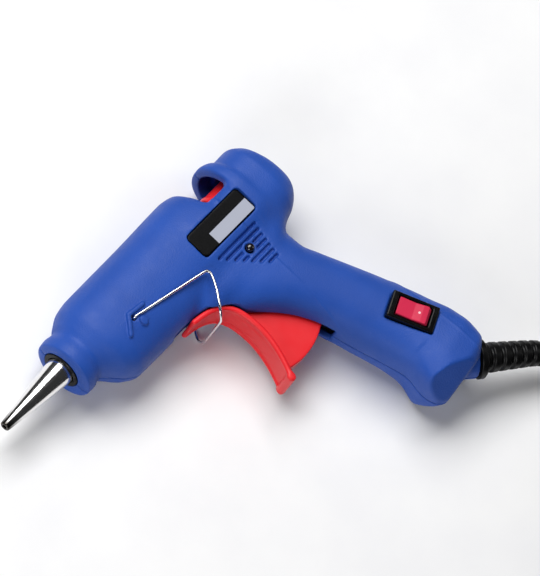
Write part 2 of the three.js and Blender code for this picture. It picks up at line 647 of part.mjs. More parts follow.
const gun = new THREE.Group();
gun.add(
  mesh("left_shell", leftShell, BLUE, 0.55),
  mesh("right_shell", rightShell, BLUE, 0.55),
  mesh("nozzle", nozzle(), STEEL, 0.2, 1),
  mesh("nozzle_collar", nozzleCollar(), BLACK, 0.6),
  mesh("heating_chamber", heatingChamber(), 0xb4b6b8, 0.4, 1),
  mesh("ptc_heater", ptcHeater(), 0xb87a2e, 0.5),
  mesh("heater_clip", heaterClip(), STEEL, 0.35, 1),
  mesh("inlet_sleeve", inletSleeve(), 0xb5452f, 0.7),
  mesh("sleeve_clamp", sleeveClamp(), STEEL, 0.35, 1),
  mesh("feed_carriage", feedCarriage(), RED, 0.45),
  mesh("gripper", gripper(), STEEL, 0.4, 1),
  mesh("gripper_pin", gripperPin(), STEEL, 0.3, 1),
  mesh("trigger", trigger(), RED, 0.45),
  mesh("trigger_pin", triggerPin(), STEEL, 0.3, 1),
  mesh("return_spring", returnSpring(), STEEL, 0.35, 1),
  mesh("stand_wire", standWire(), STEEL, 0.25, 1),
  mesh("switch_housing", switchHousing(), BLACK, 0.35),
  mesh("switch_rocker", switchRocker(), 0xd23a5c, 0.3),
  mesh("indicator_lens", indicatorLens(), 0x20161c, 0.15),
  mesh("indicator_lamp", indicatorLamp(), 0xd9c9b0, 0.3),
  mesh("rating_plate", ratingPlate(), 0x0a0a0e, 0.3),
  mesh("lead_to_heater", leadToHeater(), 0xe8e4da, 0.5),
  mesh("lead_to_switch", leadToSwitch(), 0xe8e4da, 0.5),
  mesh("cord_core", cordCore(), BLACK, 0.6),
  mesh("cord_clamp", cordClamp(), BLACK, 0.5),
  mesh("strain_relief", strainRelief(), BLACK, 0.6),
  ...CLAMP_SCREWS_Z.map((z, i) => mesh(`clamp_screw_${i + 1}`, clampScrew(z), STEEL, 0.35, 1)),
  ...SHELL_SCREWS.map(([x, y], i) => mesh(`shell_screw_${i + 1}`, shellScrew(x, y), 0x3a3a3e, 0.4, 1)),
  mesh("mains_cord", tube(CORD_LEAD, CORD_RADIUS, 18, 8), BLACK, 0.6),
  mesh("cord_coil", cordCoil(), BLACK, 0.6),
  mesh("cord_tail", tube(CORD_TAIL, CORD_RADIUS, 9, 8), BLACK, 0.6),
  mesh("cord_tie", cordTie(), BLACK, 0.8),
  mesh("plug_body", plugBody(), BLACK, 0.5),
  mesh("plug_pin_1", plugPin(-1), STEEL, 0.25, 1),
  mesh("plug_pin_2", plugPin(1), STEEL, 0.25, 1),
);
gun.position.set(-ORIGIN.x, -ORIGIN.y, HALF_WIDTH);

const part = new THREE.Group();
part.add(gun);
export default part;
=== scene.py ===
"""A small hot-melt glue gun, lying on its right flank with its lead coiled beside it.

Shapes are drawn in the gun's own frame, in millimetres: x from the nozzle tip rearwards along the
stick's axis, y up from that axis, z towards the left flank, which faces up. row() takes a point to
the row frame. Moulded pieces are distance fields (negative inside) turned into meshes.
"""

import json
import math

import bpy
import numpy as np
import openvdb
from mathutils import Matrix, Vector


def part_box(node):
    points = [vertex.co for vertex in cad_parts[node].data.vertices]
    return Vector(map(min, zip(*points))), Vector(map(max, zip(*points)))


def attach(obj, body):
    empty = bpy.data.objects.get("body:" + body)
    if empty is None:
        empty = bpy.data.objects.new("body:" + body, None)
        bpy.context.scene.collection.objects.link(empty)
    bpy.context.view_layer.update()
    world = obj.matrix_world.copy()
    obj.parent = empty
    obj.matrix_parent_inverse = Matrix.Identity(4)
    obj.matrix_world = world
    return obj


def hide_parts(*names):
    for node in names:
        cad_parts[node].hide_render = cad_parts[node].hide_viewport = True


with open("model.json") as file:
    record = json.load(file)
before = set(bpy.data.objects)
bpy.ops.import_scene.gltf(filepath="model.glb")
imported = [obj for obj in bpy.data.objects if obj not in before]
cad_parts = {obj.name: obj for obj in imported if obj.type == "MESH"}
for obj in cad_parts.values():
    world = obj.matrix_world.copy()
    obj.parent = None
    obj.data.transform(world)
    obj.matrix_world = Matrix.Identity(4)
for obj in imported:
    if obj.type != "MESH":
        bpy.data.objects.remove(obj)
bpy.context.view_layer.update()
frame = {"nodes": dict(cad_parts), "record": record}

# ---- driving dimensions, in millimetres ---------------------------------------------------------
NOZZLE_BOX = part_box("nozzle")
NOZZLE_MIDDLE = (NOZZLE_BOX[0] + NOZZLE_BOX[1]) / 2
GUN = Vector((NOZZLE_BOX[0].x, NOZZLE_MIDDLE.y, NOZZLE_MIDDLE.z))
MM = 0.001
FLOOR_Z = -GUN.z / MM
WALL = 2.2
SEAM = 0.09  # half of the gap between the shell halves
SHELL_STEP = 0.4

STICK_BORE = 4.0
MOUTH_RADIUS = 7.1
TRIGGER_PIVOT = (94.0, -28.0)
TRIGGER_RADIUS = 27.6
TRIGGER_HALF_WIDTH = 7.2
WEB_HALF_WIDTH = 3.0
STAND_PIVOT = (55.5, -5.8)
STAND_Z = 14.85
SWITCH = dict(x=129.2, y=-71.7, tilt=math.radians(-66.5), length=17.2, width=10.0, face=14.1)
LAMP = (104.9, -17.0)
LAMP_RADIUS = 1.5
PLATE = dict(x=103.9, y=-4.2, length=26.6, width=9.8, z=14.1)
SCREWS = [(52, -13.2), (131.5, -8.5), (117, -47), (120.5, -93)]
GLAND = dict(x=137.6, y=-96.2, angle=math.radians(-38))

CORD_RADIUS = 2.5
CORD_Z = FLOOR_Z + CORD_RADIUS + 0.2
COIL = dict(x=160.0, y=-176.0)

# Sections of the barrel across x: x, top, bottom, half width, squareness.
BARREL = [
    (29.7, 9.3, -10.5, 9.9, 2.0),
    (30.5, 10.4, -11.8, 11.0, 2.0),
    (33.0, 10.7, -11.9, 11.1, 2.0),
    (36.4, 10.2, -11.0, 10.7, 2.0),
    (39.5, 12.0, -13.2, 12.0, 2.1),
    (44.0, 14.2, -17.7, 13.9, 2.2),
    (49.0, 14.9, -20.0, 14.3, 2.3),
    (76.0, 15.1, -20.1, 14.3, 2.3),
    (98.0, 15.6, -19.6, 14.3, 2.3),
    (102.5, 14.9, -19.0, 14.1, 2.3),
    (105.5, 11.9, -18.0, 13.2, 2.3),
    (107.8, 7.4, -16.0, 12.0, 2.2),
    (109.6, 1.5, -12.0, 9.4, 2.2),
]
# Sections of the hump over the stick's tunnel, in the same order, from the lip of its mouth.
HUMP = [
    (116.6, 13.9, -18.0, 14.0, 2.5),
    (118.2, 15.0, -18.3, 14.8, 2.5),
    (120.6, 14.4, -18.5, 14.9, 2.5),
    (123.0, 12.6, -18.6, 14.6, 2.6),
    (129.0, 12.7, -18.2, 14.7, 2.6),
    (132.6, 10.7, -16.8, 13.6, 2.6),
    (135.0, 6.2, -15.0, 11.9, 2.5),
    (137.0, -0.5, -12.6, 8.6, 2.4),
]
# Sections of the flank and handle: front point, rear point, half width, squareness.
HANDLE = [
    (78.0, -12.0, 130.0, 2.0, 12.6, 2.6),
    (77.0, -20.6, 129.0, -10.0, 12.8, 2.6),
    (84.2, -26.3, 127.5, -16.0, 12.8, 2.6),
    (90.9, -31.7, 122.9, -22.4, 12.8, 2.6),
    (97.3, -37.5, 123.1, -27.9, 12.8, 2.6),
    (102.8, -44.4, 125.4, -33.8, 12.7, 2.6),
    (107.0, -52.8, 130.0, -43.6, 12.6, 2.5),
    (110.6, -65.5, 136.1, -56.9, 12.7, 2.4),
    (114.1, -76.8, 141.3, -70.8, 13.2, 2.5),
    (116.2, -85.7, 143.8, -80.8, 14.2, 3.2),
    (115.2, -92.9, 143.9, -87.1, 15.0, 4.0),
    (116.3, -98.0, 143.2, -93.3, 14.8, 4.0),
    (119.5, -101.0, 138.5, -98.2, 12.4, 3.2),
]


def row(x, y, z):
    """A point of the gun's frame, in millimetres, in the row frame, in metres."""
    return GUN + Vector((x, y, z)) * MM


# ---- camera, light and floor --------------------------------------------------------------------
def make_camera():
    """A long lens looks from the muzzle side onto the left flank, with the nozzle low on the left."""
    right = Vector((0.6281, -0.7268, 0.2779)).normalized()
    back = Vector((-0.4432, -0.0407, 0.8955))
    up = back.cross(right).normalized()
    back = right.cross(up)
    distance = 3.0
    camera = bpy.data.objects.new("camera", bpy.data.cameras.new("camera"))
    turn = Matrix((right, up, back)).transposed().to_4x4()
    camera.matrix_world = Matrix.Translation(row(105.6, -30.8, 0) + back * distance) @ turn
    camera.data.lens = 553
    camera.data.clip_start = 0.01
    bpy.context.scene.collection.objects.link(camera)
    bpy.context.scene.camera = camera


def area_light(name, place, size, power, aim):
    light = bpy.data.lights.new(name, "AREA")
    light.shape = "RECTANGLE"
    light.size, light.size_y = size
    light.energy = power
    lamp = bpy.data.objects.new(name, light)
    lamp.location = place
    lamp.rotation_euler = (Vector(aim) - Vector(place)).to_track_quat("-Z", "Y").to_euler()
    bpy.context.scene.collection.objects.link(lamp)


def make_studio():
    """A pale floor in a dim room, under one broad soft light and two weaker ones beside it."""
    middle = row(100, -40, 0)
    area_light("key_light", middle + Vector((0.1, 0.5, 0.9)), (1.0, 0.6), 12.5, middle)
    area_light("muzzle_light", middle + Vector((-0.95, -0.15, 0.5)), (0.5, 0.5), 4.0, middle)
    area_light("rear_light", middle + Vector((0.8, -0.6, 0.6)), (0.4, 0.8), 1.2, middle)
    world = bpy.data.worlds.new("studio")
    world.use_nodes = True
    background = world.node_tree.nodes["Background"]
    background.inputs["Color"].default_value = (1, 1, 1, 1)
    background.inputs["Strength"].default_value = 0.03
    bpy.context.scene.world = world
    bpy.context.scene.view_settings.view_transform = "Standard"
    floor = polygon_mesh("floor", [(-3, -3, 0), (3, -3, 0), (3, 3, 0), (-3, 3, 0)], [(0, 1, 2, 3)])
    floor.data.materials.append(floor_material())


# ---- materials ----------------------------------------------------------------------------------
def new_material(name):
    """An empty node material with its principled shader."""
    material = bpy.data.materials.new(name)
    material.use_nodes = True
    return material, material.node_tree.nodes["Principled BSDF"]


def add_node(material, kind, **inputs):
    node = material.node_tree.nodes.new(kind)
    for name, value in inputs.items():
        node.inputs[name.replace("_", " ")].default_value = value
    return node


def noise(material, scale, detail=4.0, stretch=(1, 1, 1)):
    """A noise pattern fixed to the object; scale counts its features per metre."""
    place = add_node(material, "ShaderNodeTexCoord")
    mapping = add_node(material, "ShaderNodeMapping", Scale=stretch)
    pattern = add_node(material, "ShaderNodeTexNoise", Scale=scale, Detail=detail)
    material.node_tree.links.new(place.outputs["Object"], mapping.inputs["Vector"])
    material.node_tree.links.new(mapping.outputs["Vector"], pattern.inputs["Vector"])
    return pattern.outputs["Fac"]


def add_bump(material, shader, height, strength, depth):
    """Bumps from a height pattern, depth in metres."""
    bump = add_node(material, "ShaderNodeBump", Strength=strength, Distance=depth)
    material.node_tree.links.new(height, bump.inputs["Height"])
    material.node_tree.links.new(bump.outputs["Normal"], shader.inputs["Normal"])
    return bump


def vary(material, pattern, low, high, socket):
    """Drives a shader socket between two values, or two colours, by a pattern."""
    if isinstance(low, tuple):
        ramp = add_node(material, "ShaderNodeValToRGB")
        ramp.color_ramp.elements[0].position = 0.35
        ramp.color_ramp.elements[1].position = 0.65
        ramp.color_ramp.elements[0].color = (*low, 1)
        ramp.color_ramp.elements[1].color = (*high, 1)
        material.node_tree.links.new(pattern, ramp.inputs["Fac"])
        material.node_tree.links.new(ramp.outputs["Color"], socket)
        return
    scaled = add_node(material, "ShaderNodeMapRange")
    scaled.inputs["From Min"].default_value = 0.3
    scaled.inputs["From Max"].default_value = 0.7
    scaled.inputs["To Min"].default_value = low
    scaled.inputs["To Max"].default_value = high
    material.node_tree.links.new(pattern, scaled.inputs["Value"])
    material.node_tree.links.new(scaled.outputs["Result"], socket)


def floor_material():
    material, shader = new_material("pale_floor")
    vary(material, noise(material, 30), (0.91, 0.91, 0.92), (0.95, 0.95, 0.95), shader.inputs["Base Color"])
    shader.inputs["Roughness"].default_value = 0.9
    return material


def moulded(name, dark, light, roughness, grain=2600, strength=0.25, depth=0.00004, coat=0.0, shine=0.3):
    """Moulded plastic: a slow drift of colour, patchy gloss and a fine grain."""
    material, shader = new_material(name)
    vary(material, noise(material, 45, 3), dark, light, shader.inputs["Base Color"])
    vary(material, noise(material, 260, 5), roughness - 0.06, roughness + 0.06, shader.inputs["Roughness"])
    add_bump(material, shader, noise(material, grain, 3), strength, depth)
    shader.inputs["Specular IOR Level"].default_value = shine
    shader.inputs["Coat Weight"].default_value = coat
    shader.inputs["Coat Roughness"].default_value = 0.15
    return material


def metal(name, dark, light, roughness, grain=900, stretch=(1, 1, 1), strength=0.08):
    """Worked metal: streaks along one direction in colour, gloss and height."""
    material, shader = new_material(name)
    streaks = noise(material, grain, 4, stretch)
    vary(material, streaks, dark, light, shader.inputs["Base Color"])
    patches = noise(material, 300, 4, stretch)
    vary(material, patches, roughness * 0.7, roughness * 1.3, shader.inputs["Roughness"])
    add_bump(material, shader, streaks, strength, 0.00002)
    shader.inputs["Metallic"].default_value = 1.0
    return material


def nozzle_metal():
    """Turned and polished, browned by heat towards the tip."""
    material = metal("polished_metal", (0.62, 0.61, 0.6), (0.8, 0.79, 0.77), 0.16, 700, (1, 6, 6))
    shader = material.node_tree.nodes["Principled BSDF"]
    place = add_node(material, "ShaderNodeTexCoord")
    split = add_node(material, "ShaderNodeSeparateXYZ")
    heat = add_node(material, "ShaderNodeValToRGB")
    heat.color_ramp.elements[0].color = (0.05, 0.045, 0.04, 1)
    heat.color_ramp.elements[0].position = 0.015
    heat.color_ramp.elements[1].color = (0.86, 0.85, 0.84, 1)
    heat.color_ramp.elements[1].position = 0.16
    links = material.node_tree.links
    links.new(place.outputs["Generated"], split.inputs["Vector"])
    links.new(split.outputs["X"], heat.inputs["Fac"])
    links.new(heat.outputs["Color"], shader.inputs["Base Color"])
    return material


def rocker_material():
    """Glossy red, with a small pale dot on the press face nearer the butt."""
    dot_radius = 0.55
    dark, light = (0.6, 0.022, 0.07), (0.68, 0.028, 0.085)
    material = moulded("rocker_plastic", dark, light, 0.4, 1200, 0.06, 0.00003, shine=0.15)
    shader = material.node_tree.nodes["Principled BSDF"]
    along = 1.9
    x = SWITCH["x"] + along * math.cos(SWITCH["tilt"])
    y = SWITCH["y"] + along * math.sin(SWITCH["tilt"])
    place = add_node(material, "ShaderNodeTexCoord")
    away = add_node(material, "ShaderNodeVectorMath")
    away.operation = "DISTANCE"
    away.inputs[1].default_value = row(x, y, SWITCH["face"] + 1.6)
    inside = add_node(material, "ShaderNodeMath")
    inside.operation = "LESS_THAN"
    inside.inputs[1].default_value = dot_radius * MM
    mix = add_node(material, "ShaderNodeMix")
    mix.data_type = "RGBA"
    red = shader.inputs["Base Color"].links[0].from_socket
    factor, first, second = mix.inputs[0], mix.inputs[6], mix.inputs[7]
    second.default_value = (0.85, 0.5, 0.55, 1)
    links = material.node_tree.links
    links.new(place.outputs["Object"], away.inputs[0])
    links.new(away.outputs["Value"], inside.inputs[0])
    links.new(inside.outputs["Value"], factor)
    links.new(red, first)
    links.new(mix.outputs[2], shader.inputs["Base Color"])
    return material


def label_material():
    """Printed film: black, with a silver field over the lower part of its rear end."""
    material, shader = new_material("label_film")
    place = add_node(material, "ShaderNodeTexCoord")
    split = add_node(material, "ShaderNodeSeparateXYZ")
    links = material.node_tree.links
    links.new(place.outputs["Generated"], split.inputs["Vector"])
    sides = []
    edges = (
        ("X", 0.27, "GREATER_THAN"),
        ("Y", 0.53, "LESS_THAN"),
        ("Y", 0.045, "GREATER_THAN"),
        ("X", 0.985, "LESS_THAN"),
    )
    for axis, edge, way in edges:
        test = add_node(material, "ShaderNodeMath")
        test.operation = way
        test.inputs[1].default_value = edge
        links.new(split.outputs[axis], test.inputs[0])
        sides.append(test.outputs["Value"])
    inside = sides[0]
    for side in sides[1:]:
        both = add_node(material, "ShaderNodeMath")
        both.operation = "MULTIPLY"
        links.new(inside, both.inputs[0])
        links.new(side, both.inputs[1])
        inside = both.outputs["Value"]
    vary(material, inside, (0.0015, 0.0015, 0.002), (0.4, 0.42, 0.5), shader.inputs["Base Color"])
    vary(material, noise(material, 500, 4), 0.28, 0.42, shader.inputs["Roughness"])
    shader.inputs["Specular IOR Level"].default_value = 0.1
    add_bump(material, shader, noise(material, 1500, 3), 0.08, 0.00002)
    return material


def make_materials():
    """One material for each of the record's slots."""
    black = (0.0018, 0.0018, 0.002)
    worn_black = (0.0035, 0.0035, 0.004)
    return {
        "blue_abs": moulded(
            "blue_abs", (0.014, 0.070, 0.37), (0.018, 0.082, 0.42), 0.5, 1900, 0.9, 0.00014
        ),
        "red_plastic": moulded(
            "red_plastic", (0.78, 0.016, 0.022), (0.84, 0.02, 0.028), 0.34, 1500, 0.1, 0.00003
        ),
        "rocker_plastic": rocker_material(),
        "black_plastic": moulded("black_plastic", black, worn_black, 0.45, shine=0.2),
        "black_gloss_plastic": moulded(
            "black_gloss_plastic", black, worn_black, 0.25, 1800, 0.12, shine=0.16
        ),
        "relief_pvc": moulded("relief_pvc", black, worn_black, 0.36, 1500, 0.2, shine=0.22),
        "cord_pvc": moulded("cord_pvc", black, worn_black, 0.4, 1600, 0.2, shine=0.22),
        "plug_pvc": moulded("plug_pvc", black, worn_black, 0.38, 1800, 0.2),
        "silicone": moulded("silicone", (0.38, 0.07, 0.04), (0.48, 0.1, 0.06), 0.6, 900, 0.3),
        "heater_wrap": moulded(
            "heater_wrap", (0.4, 0.2, 0.04), (0.52, 0.28, 0.07), 0.3, 700, 0.3, 0.0001, 0.5
        ),
        "wire_insulation": moulded(
            "wire_insulation", (0.68, 0.66, 0.6), (0.8, 0.78, 0.72), 0.6, 2200, 0.5
        ),
        "tie_fabric": moulded("tie_fabric", worn_black, (0.02, 0.02, 0.022), 0.85, 1800, 0.9, 0.0002),
        "lens": moulded(
            "lens", (0.006, 0.004, 0.006), (0.01, 0.006, 0.01), 0.08, 800, 0.02, 0.00001, 1.0
        ),
        "lamp_glass": moulded(
            "lamp_glass", (0.6, 0.5, 0.35), (0.7, 0.6, 0.42), 0.12, 500, 0.05, 0.00002, 0.8
        ),
        "polished_metal": nozzle_metal(),
        "plated_wire": metal(
            "plated_wire", (0.82, 0.82, 0.83), (0.9, 0.9, 0.91), 0.22, 400, strength=0.02
        ),
        "spring_steel": metal("spring_steel", (0.4, 0.41, 0.43), (0.56, 0.57, 0.6), 0.3),
        "cast_aluminium": metal(
            "cast_aluminium", (0.5, 0.51, 0.52), (0.64, 0.65, 0.66), 0.5, 1400, (1, 1, 1), 0.4
        ),
        "screw_steel": metal("screw_steel", (0.16, 0.16, 0.17), (0.28, 0.28, 0.3), 0.34),
        "plug_brass": metal("plug_brass", (0.62, 0.61, 0.58), (0.76, 0.75, 0.72), 0.2, 600, (1, 8, 8)),
        "label_film": label_material(),
    }


# ---- making meshes ------------------------------------------------------------------------------
def polygon_mesh(name, vertices, faces, smooth=False):
    """A mesh object from vertices in the row frame, in metres."""
    data = bpy.data.meshes.new(name)
    data.from_pydata(vertices, [], faces)
    if smooth:
        data.shade_smooth()
    data.update()
    made = bpy.data.objects.new(name, data)
    bpy.context.scene.collection.objects.link(made)
    return made


def lattice(low, high, step):
    """Coordinates of a regular lattice, as three arrays that broadcast together."""
    axes = [np.arange(a, b + step, step, dtype=np.float32) for a, b in zip(low, high)]
    return np.meshgrid(*axes, indexing="ij", sparse=True)


def surface(name, field, low, step):
    """The zero surface of a distance field on a lattice that starts at low."""
    grid = openvdb.FloatGrid(3.0)
    grid.copyFromArray(np.ascontiguousarray(field, dtype=np.float32))
    points, triangles, quads = grid.convertToPolygons(isovalue=0.0, adaptivity=0.0)
    places = (np.asarray(points) * step + np.asarray(low)) * MM + np.asarray(GUN)
    faces = [tuple(reversed(face)) for face in quads.tolist() + triangles.tolist()]
    return polygon_mesh(name, places.tolist(), faces, smooth=True)


def thinned(piece, most_triangles):
    """The piece with its mesh simplified to a number of triangles."""
    count = sum(len(face.vertices) - 2 for face in piece.data.polygons)
    if count > most_triangles:
        modifier = piece.modifiers.new("thin", "DECIMATE")
        modifier.ratio = most_triangles / count
        bake(piece)
    return piece


def bake(piece):
    """Applies a piece's modifiers."""
    graph = bpy.context.evaluated_depsgraph_get()
    baked = bpy.data.meshes.new_from_object(piece.evaluated_get(graph))
    piece.modifiers.clear()
    piece.data = baked


def turned_piece(name, profile, centre=(0, 0), sides=96):
    """A lathe about an axis along x, from a closed profile of (x, radius)."""
    vertices = []
    for x, radius in profile:
        for i in range(sides):
            angle = 2 * math.pi * i / sides
            y = centre[0] + radius * math.cos(angle)
            z = centre[1] + radius * math.sin(angle)
            vertices.append(row(x, y, z))
    return polygon_mesh(name, vertices, ring_faces(len(profile), sides, closed=True), smooth=True)


def ring_faces(rings, sides, closed):
    """Faces that join rings of vertices; closed also joins the last ring to the first."""
    faces = []
    for a in range(rings if closed else rings - 1):
        b = (a + 1) % rings
        for i in range(sides):
            j = (i + 1) % sides
            faces.append((a * sides + i, a * sides + j, b * sides + j, b * sides + i))
    return faces


def smooth_corners(points, radius, steps=4):
    """An open line with each corner replaced by a small arc-like curve."""
    result = [Vector(points[0])]
    for before, corner, after in zip(points, points[1:], points[2:]):
        before, corner, after = Vector(before), Vector(corner), Vector(after)
        reach_in = min(radius, (before - corner).length * 0.45)
        reach_out = min(radius, (after - corner).length * 0.45)
        start = corner + (before - corner).normalized() * reach_in
        end = corner + (after - corner).normalized() * reach_out
        for i in range(steps + 1):
            t = i / steps
            result.append(start * (1 - t) ** 2 + corner * 2 * t * (1 - t) + end * t * t)
    result.append(Vector(points[-1]))
    return result


def curve_piece(name, points, radius, resolution=6):
    """A round wire or cord along points of the gun's frame."""
    data = bpy.data.curves.new(name, "CURVE")
    data.dimensions = "3D"
    data.bevel_depth = radius * MM
    data.bevel_resolution = resolution
    data.use_fill_caps = True
    line = data.splines.new("POLY")
    line.points.add(len(points) - 1)
    for point, place in zip(line.points, points):
        point.co = (*row(*place), 1)
    made = bpy.data.objects.new(name, data)
    bpy.context.scene.collection.objects.link(made)
    return made


# ---- distance fields ----------------------------------------------------------------------------
def joined(a, b, blend=0.0):
    """Both fields, with a fillet about as wide as blend between them."""
    if blend == 0:
        return np.minimum(a, b)
    h = np.clip(0.5 + 0.5 * (b - a) / blend, 0, 1)
    return b + (a - b) * h - blend * h * (1 - h)


def common(a, b, blend=0.0):
    return -joined(-a, -b, blend)


def without(a, b, blend=0.0):
    return -joined(-a, b, blend)


def box_field(p, low, high, corner=0.0):
    """A box with rounded edges, from two corners."""
    outside, inside = 0.0, -1e9
    for axis, a, b in zip(p, low, high):
        d = np.abs(axis - (a + b) / 2) - (b - a) / 2 + corner
        outside = outside + np.maximum(d, 0) ** 2
        inside = np.maximum(inside, d)
    return np.sqrt(outside) + np.minimum(inside, 0) - corner


def rod_z(p, x, y, radius, z0=-1e3, z1=1e3):
    """A round bar across the gun."""
    round_part = np.hypot(p[0] - x, p[1] - y) - radius
    return np.maximum(round_part, np.abs(p[2] - (z0 + z1) / 2) - (z1 - z0) / 2)


def rod_x(p, radius, x0, x1, y=0.0, z=0.0):
    """A round bar along the gun."""
    round_part = np.hypot(p[1] - y, p[2] - z) - radius
    return np.maximum(round_part, np.abs(p[0] - (x0 + x1) / 2) - (x1 - x0) / 2)


def turned_frame(p, x, y, angle):
    """The lattice's coordinates in a frame turned in the side view."""
    dx, dy = p[0] - x, p[1] - y
    c, s = math.cos(angle), math.sin(angle)
    return dx * c + dy * s, dy * c - dx * s, p[2]


def outline_field(p, points):
    """Distance to a closed outline in the side view, negative inside it."""
    nearest = np.full(np.broadcast(p[0], p[1]).shape, 1e9, dtype=np.float32)
    inside = np.zeros(nearest.shape, dtype=bool)
    for (ax, ay), (bx, by) in zip(points, points[1:] + points[:1]):
        ex, ey = bx - ax, by - ay
        dx, dy = p[0] - ax, p[1] - ay
        t = np.clip((dx * ex + dy * ey) / (ex * ex + ey * ey), 0, 1)
        nearest = np.minimum(nearest, np.hypot(dx - ex * t, dy - ey * t))
        if ay != by:
            crosses = ((p[1] >= ay) != (p[1] >= by)) & (p[0] < ax + ex * (p[1] - ay) / ey)
            inside ^= crosses
    return np.where(inside, -nearest, nearest)


def line_field(p, points, radius):
    """A stroke of a given half width along an open line in the side view."""
    nearest = 1e9
    for (ax, ay), (bx, by) in zip(points, points[1:]):
        ex, ey = bx - ax, by - ay
        dx, dy = p[0] - ax, p[1] - ay
        t = np.clip((dx * ex + dy * ey) / (ex * ex + ey * ey), 0, 1)
        nearest = np.minimum(nearest, np.hypot(dx - ex * t, dy - ey * t))
    return nearest - radius


def slab(p, z0, z1):
    return np.abs(p[2] - (z0 + z1) / 2) - (z1 - z0) / 2


def plate_field(p, side_view, z0, z1, edge=0.0):
    """A plate of a side view between two sideways places, with its edges eased."""
    return common(side_view, slab(p, z0, z1), edge)


def eased(rows, places):
    """A table of rows read at places along its first column, without overshoot or corners."""
    table = np.asarray(rows, dtype=float)
    t, values = table[:, 0], table[:, 1:]
    steps = np.diff(t)
    slopes = np.diff(values, axis=0) / steps[:, None]
    tangents = np.zeros_like(values)
    same_way = slopes[:-1] * slopes[1:] > 0
    product = 2 * slopes[:-1] * slopes[1:]
    total = np.where(same_way, slopes[:-1] + slopes[1:], 1)
    tangents[1:-1] = np.where(same_way, product / total, 0)
    tangents[0], tangents[-1] = slopes[0], slopes[-1]
    i = np.clip(np.searchsorted(t, places) - 1, 0, len(t) - 2)
    h = steps[i][:, None]
    s = np.clip((places - t[i])[:, None] / h, 0, 1)
    return (
        values[i] * (1 + 2 * s) * (1 - s) ** 2
        + tangents[i] * h * s * (1 - s) ** 2
        + values[i + 1] * s * s * (3 - 2 * s)
        + tangents[i + 1] * h * s * s * (s - 1)
    )


def true_distance(field, step):
    """A field scaled so that it grows by one for each millimetre near its surface."""
    slope = np.sqrt(sum(g * g for g in np.gradient(field, step)))
    return field / np.maximum(slope, 0.02)


def superellipse(u, v, squareness):
    """Zero on the curve |u|^n + |v|^n = 1, negative inside."""
    u, v = np.abs(u) + 1e-6, np.abs(v) + 1e-6
    return (u**squareness + v**squareness) ** (1 / squareness) - 1


def loft_across_x(p, rows, step):
    """A skin over sections across x."""
    x = p[0].ravel()
    top, bottom, wide, squareness = eased(rows, x).T.astype(np.float32).reshape(4, -1, 1, 1)
    u = (p[1] - (top + bottom) / 2) / ((top - bottom) / 2)
    skin = true_distance(superellipse(u, p[2] / wide, squareness), step)
    ends = np.maximum(rows[0][0] - p[0], p[0] - rows[-1][0])
    return common(skin, ends, 0.8)


def loft_along_spine(p, rows, step):
    """A skin over sections that each run between a front and a rear point."""
    strips = 6
    table = [(i, *values) for i, values in enumerate(rows)]
    dense = eased(table, np.linspace(0, len(rows) - 1, strips * (len(rows) - 1) + 1))
    front, rear, wide, squareness = dense[:, :2], dense[:, 2:4], dense[:, 4], dense[:, 5]
    half = np.hypot(*(rear - front).T) / 2
    along = (rear - front) / (2 * half[:, None])
    middle = (front + rear) / 2
    x, y = p[0][:, :, 0], p[1][:, :, 0]
    below = [(x - m[0]) * a[1] - (y - m[1]) * a[0] for m, a in zip(middle, along)]
    place = np.zeros(below[0].shape, dtype=np.float32)
    for i in range(len(dense) - 1):
        share = below[i] / np.maximum(below[i] - below[i + 1], 1e-6)
        place = np.where((below[i] >= 0) & (below[i + 1] < 0), i + share, place)
    place = np.where(below[-1] >= 0, len(dense) - 1, np.where(below[0] < 0, 0, place))
    order = np.arange(len(dense))

    def at_place(values):
        return np.interp(place, order, values).astype(np.float32)

    u = (x - at_place(middle[:, 0])) * at_place(along[:, 0])
    u = u + (y - at_place(middle[:, 1])) * at_place(along[:, 1])
    u = (u / at_place(half))[:, :, None]
    across = p[2] / at_place(wide)[:, :, None]
    skin = true_distance(superellipse(u, across, at_place(squareness)[:, :, None]), step)
    ends = np.maximum(-below[0], below[-1])[:, :, None].astype(np.float32)
    return common(skin, ends, 1.2)


# ---- the shells ---------------------------------------------------------------------------------
def arch_field(p, x0, x1, half_width, top, bottom):
    """A tunnel with a round roof, along the gun."""
    spring = top - half_width
    roof = np.hypot(np.maximum(p[1] - spring, 0), p[2]) - half_width
    walls = common(roof, bottom - p[1], 0.5)
    return np.maximum(walls, np.abs(p[0] - (x0 + x1) / 2) - (x1 - x0) / 2)


def gland_rod(p, radius, start, end):
    """A round bar about the axis of the cord's gland."""
    u, v, w = turned_frame(p, GLAND["x"], GLAND["y"], GLAND["angle"])
    return np.maximum(np.hypot(v, w) - radius, np.abs(u - (start + end) / 2) - (end - start) / 2)


def butt_facets(p):
    """The flats on the butt: one round its lower end, and one towards the finger side."""
    height = np.abs(p[2])
    lower = -0.34 * (p[0] - 121.8) - 0.75 * (p[1] + 93.3) + 0.56 * (height - 13.2)
    front = -0.32 * (p[0] - 124.0) + 0.12 * (p[1] + 88.0) + 0.94 * (height - 14.4)
    fading = np.maximum(p[1] + 82.0, 0)
    return np.maximum(lower, front - fading)


